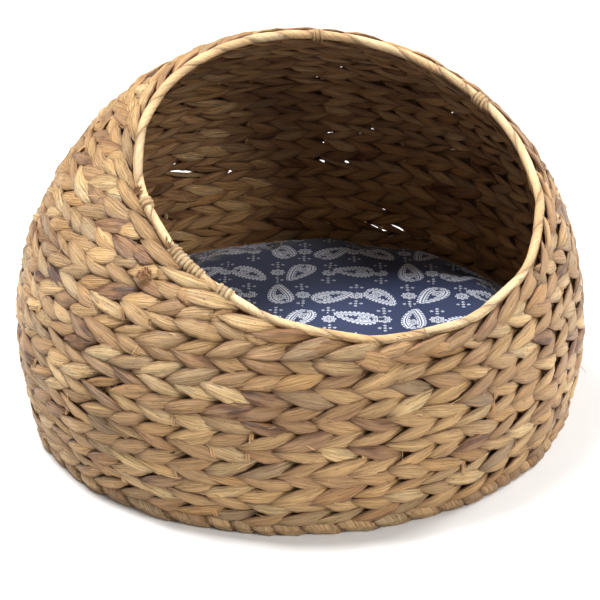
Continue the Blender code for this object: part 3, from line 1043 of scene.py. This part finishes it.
def hyacinth(name, palette, tip_and_shade_share, fold_share=0.50):
    """Dried water hyacinth: each leaf has its own tone, mauve-brown ends, and fibres and folds along it.
    Painted shade darkens the leaves' edges and ends where they dip under their neighbours, the folds, the
    grooves between wound windings and the leaves inside the wall.
    """
    material, tree, shader = new_material(name)
    lay = attribute_of(tree, "lay")
    leaf, edge, outside = parts_of(tree, attribute_of(tree, "tone"))
    fine = noise_on(tree, lay, (30, 2300, 1), 3)
    broad = noise_on(tree, lay, (20, 520, 1), 2)
    patch = noise_on(tree, lay, (42, 150, 1), 2)
    spot = noise_on(tree, lay, (230, 600, 1), 2)
    # the folds: the bump dents them and the colour paints shade in them
    fold = (1.0 - (broad * 2.0 - 1.0).absolute()).power(13.0)
    # darker towards the ends and edges: the leaves' own mauve-brown tips, and painted shade where ends and
    # edges dip under their neighbours and in the grooves between windings
    tip = edge * (patch * tip_and_shade_share + tip_and_shade_share / 3)
    speck = spot.above(0.68) * 0.55

    colour = colour_ramp(tree, palette, patch * 0.60 + leaf * 0.9 - 0.25)
    colour = leaf_hues(tree, leaf, colour)
    colour = mix_colour(tree, "MIX", tip, colour, TIP_AND_SHADE_COLOUR)
    colour = mix_colour(tree, "MULTIPLY", 1.0, colour, fine * 1.1 + 0.50)
    # painted shade along the folds
    colour = mix_colour(tree, "MIX", fold * fold_share, colour, FOLD_SHADE_COLOUR)
    colour = mix_colour(tree, "MIX", speck, colour, SPECK_COLOUR)
    # painted shade: leaves inside the wall are darker
    shaded = mix_colour(tree, "MULTIPLY", 1.0, colour, INSIDE_SHADE)
    colour = mix_colour(tree, "MIX", 1.0 - outside, colour, shaded)
    tree.links.new(colour, shader.inputs["Base Color"])

    height = broad * 1.1 + fine * 0.7 - fold * (0.8 * fold_share)
    add_bump(tree, shader, height, strength=1.0, distance=0.0016)
    set_inputs(shader, {"Roughness": 0.48, "Specular IOR Level": 0.45})
    return material


def turned(x, y, cosine, sine):
    return x * cosine - y * sine, x * sine + y * cosine


def rosette(x, y, radius, petals):
    """A ring of petals round a dot."""
    distance = (x * x + y * y).power(0.5)
    wave = (y.step("ARCTAN2", x) * petals).step("COSINE")
    edge = distance - (wave * (radius * 0.16) + radius)
    found = edge.absolute().below(radius * 0.12)
    found = found.either((edge + radius * 0.40).absolute().below(radius * 0.13))
    return found.either(distance.below(radius * 0.22)), edge


def teardrop(x, y, length):
    """A curled drop with an echo line, a dotted border and a small rosette inside."""
    along = (y + length * 0.5) / length
    inside = along.above(0.0) * along.below(1.0)
    safe = along.step("MAXIMUM", 0.0).step("MINIMUM", 1.0)
    half = safe.power(0.5) * (1.0 - safe).power(0.85) * (length * 0.62)
    curl = safe * safe * (length * 0.30)
    edge = (x - curl).absolute() - half
    beads = (along * 62).step("COSINE").above(-0.3)
    found, _ = rosette(x, y + length * 0.16, length * 0.13, 7)
    for depth, half_width, beaded in DROP_LINES:
        line = (edge + depth).absolute().below(half_width)
        found = found.either(line * beads if beaded else line)
    return found * inside, edge


def cotton_print(name):
    """Navy cotton with a pale print of curled drops, rosettes and groups of small diamonds."""
    material, tree, shader = new_material(name)
    lay = attribute_of(tree, "lay")
    x, y, _ = parts_of(tree, lay)
    shift = noise_on(tree, lay, (16, 16, 16), 1) * 0.006
    x = x + shift + PRINT_ORIGIN
    y = y - shift + PRINT_ORIGIN
    u, v = turned(x, y, math.cos(PRINT_SLANT), math.sin(PRINT_SLANT))
    row = (v / PRINT_CELL).step("FLOOR")
    u = u + row * (PRINT_CELL * 0.5)
    column = (u / PRINT_CELL).step("FLOOR")
    local_x = u - column * PRINT_CELL - PRINT_CELL / 2
    local_y = v - row * PRINT_CELL - PRINT_CELL / 2
    spin = row * ROW_TURN + column * COLUMN_TURN
    drop_x, drop_y = turned(local_x, local_y, spin.step("COSINE"), spin.step("SINE"))
    drop, edge = teardrop(drop_x, drop_y, DROP_LENGTH)
    between_x = ((u / PRINT_CELL + 0.5).fraction() - 0.5) * PRINT_CELL
    flower, flower_edge = rosette(between_x, local_y, FLOWER_RADIUS, 8)
    bead_x = ((u / BEAD_CELL + 0.5).fraction() - 0.5).absolute()
    bead_y = ((v / BEAD_CELL).fraction() - 0.5).absolute()
    group = between_x.absolute() + (local_y.absolute() - PRINT_CELL * 0.35).absolute()
    dots = (bead_x + bead_y - 0.27).absolute().below(0.10) * group.below(PRINT_CELL * 0.14)
    clear = edge.above(0.0040) * flower_edge.above(0.0015)
    printed = drop.either(flower * edge.above(0.0035)).either(dots * clear)
    worn = noise_on(tree, lay, (900, 900, 900), 2)
    colour = mix_colour(tree, "MIX", printed * (worn * 0.7 + 0.5), NAVY, PRINT_WHITE)
    tree.links.new(colour, shader.inputs["Base Color"])
    weave = noise_on(tree, lay, (1500, 1500, 1500), 1)
    add_bump(tree, shader, weave, strength=0.35, distance=0.0004)
    set_inputs(shader, {"Roughness": 0.85, "Sheen Weight": 0.25, "Specular IOR Level": 0.2})
    return material


def iron_wire(name):
    """Drawn iron wire with a brown bloom of rust."""
    material, tree, shader = new_material(name)
    place = tree.nodes.new("ShaderNodeTexCoord").outputs["Object"]
    bloom = noise_on(tree, place, (90, 90, 90), 4)
    colour = mix_colour(tree, "MIX", bloom, (0.085, 0.075, 0.068), (0.16, 0.075, 0.035))
    tree.links.new(colour, shader.inputs["Base Color"])
    tree.links.new((bloom * 0.5 + 0.3).socket, shader.inputs["Roughness"])
    tree.links.new((1.0 - bloom * 0.9).socket, shader.inputs["Metallic"])
    pits = noise_on(tree, place, (900, 900, 900), 2)
    add_bump(tree, shader, pits, strength=0.3, distance=0.0002)
    return material


def finish_wires(material):
    """The frame keeps its CAD shape and takes the wire finish."""
    names = [f"rib_{rib:02d}" for rib in range(1, RIB_COUNT + 1)]
    names += [f"floor_bar_{bar}" for bar in range(1, BAR_COUNT + 1)] + ["base_hoop", "mouth_hoop"]
    for name in names:
        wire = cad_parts[name].data
        wire.materials.clear()
        wire.materials.append(material)


def cord_cotton(name):
    """Grey-blue cord, with painted shade in the grooves between its turns."""
    material, tree, shader = new_material(name)
    _, groove_shade, _ = parts_of(tree, attribute_of(tree, "tone"))
    # painted shade in the grooves between the turns
    colour = mix_colour(tree, "MIX", groove_shade, (0.42, 0.45, 0.54), (0.16, 0.18, 0.25))
    tree.links.new(colour, shader.inputs["Base Color"])
    set_inputs(shader, {"Roughness": 0.85})
    return material


def stage_white(name):
    material, _, shader = new_material(name)
    set_inputs(shader, {"Base Color": (0.86, 0.86, 0.86, 1), "Roughness": 0.7, "Metallic": 0.0})
    return material


# ---- stage


# (name, place, size, power) of the area lights, all aimed at the middle of the basket
LIGHT_AIM = Vector((0, 0, 0.15))
LIGHTS = (
    ("key", (1.1, -2.3, 2.0), 0.7, 49),
    ("left", (-1.0, 1.3, 2.8), 0.8, 40),
    ("right", (2.4, 0.1, 1.8), 0.8, 60),
    ("top", (-0.6, 0.4, 2.8), 0.8, 112),
)


def make_stage():
    """A wide pale floor and soft studio lights."""
    bpy.ops.mesh.primitive_plane_add(size=40)
    floor = bpy.context.object
    floor.name = "stage_floor"
    floor.data.materials.append(stage_white("stage_white"))
    world = bpy.data.worlds.new("studio")
    bpy.context.scene.world = world
    world.use_nodes = True
    set_inputs(world.node_tree.nodes["Background"], {"Color": (1.0, 0.995, 0.985, 1), "Strength": 0.30})
    for name, place, size, power in LIGHTS:
        light = bpy.data.lights.new(name, "AREA")
        light.size = size
        light.energy = power
        lamp = bpy.data.objects.new(name, light)
        lamp.location = place
        lamp.rotation_euler = (LIGHT_AIM - lamp.location).to_track_quat("-Z", "Y").to_euler()
        bpy.context.scene.collection.objects.link(lamp)
    bpy.context.scene.view_settings.view_transform = "Standard"


def make_camera():
    """A camera at the front left, above the basket."""
    azimuth, elevation, distance = math.radians(-24.7), math.radians(26.0), 1.592
    aim_height, aim_left = 0.1038, 0.0019
    level = math.cos(elevation)
    back = Vector((math.sin(azimuth) * level, -math.cos(azimuth) * level, math.sin(elevation)))
    right = Vector((math.cos(azimuth), math.sin(azimuth), 0))
    data = bpy.data.cameras.new("camera")
    data.lens = 93.5
    data.sensor_width = 36
    camera = bpy.data.objects.new("camera", data)
    aim = Vector((0, 0, aim_height)) - right * aim_left
    camera.location = aim + back * distance
    camera.rotation_euler = (-back).to_track_quat("-Z", "Y").to_euler()
    bpy.context.scene.collection.objects.link(camera)
    bpy.context.scene.camera = camera


def main():
    wall = hyacinth("hyacinth_wall", WALL_PALETTE, tip_and_shade_share=1.15)
    rope = hyacinth("hyacinth_rope", ROPE_PALETTE, tip_and_shade_share=0.45, fold_share=0.12)
    base = hyacinth("hyacinth_base", BASE_PALETTE, tip_and_shade_share=0.5)
    twine = hyacinth("hyacinth_twine", ROPE_PALETTE, tip_and_shade_share=0.0)
    dark_twine = hyacinth("hyacinth_loops", BASE_PALETTE, tip_and_shade_share=0.0)
    weave_wall(wall)
    weave_border(wall)
    make_stakes(twine)
    make_twine_loops(dark_twine)
    make_tufts(wall)
    make_loose_fibres(twine)
    make_rim(rope)
    make_base(base)
    weave_floor(wall)
    make_cover(cotton_print("paisley_cotton"))
    make_piping(cord_cotton("piping_cotton"))
    finish_wires(iron_wire("iron_wire"))
    make_stage()
    make_camera()


main()
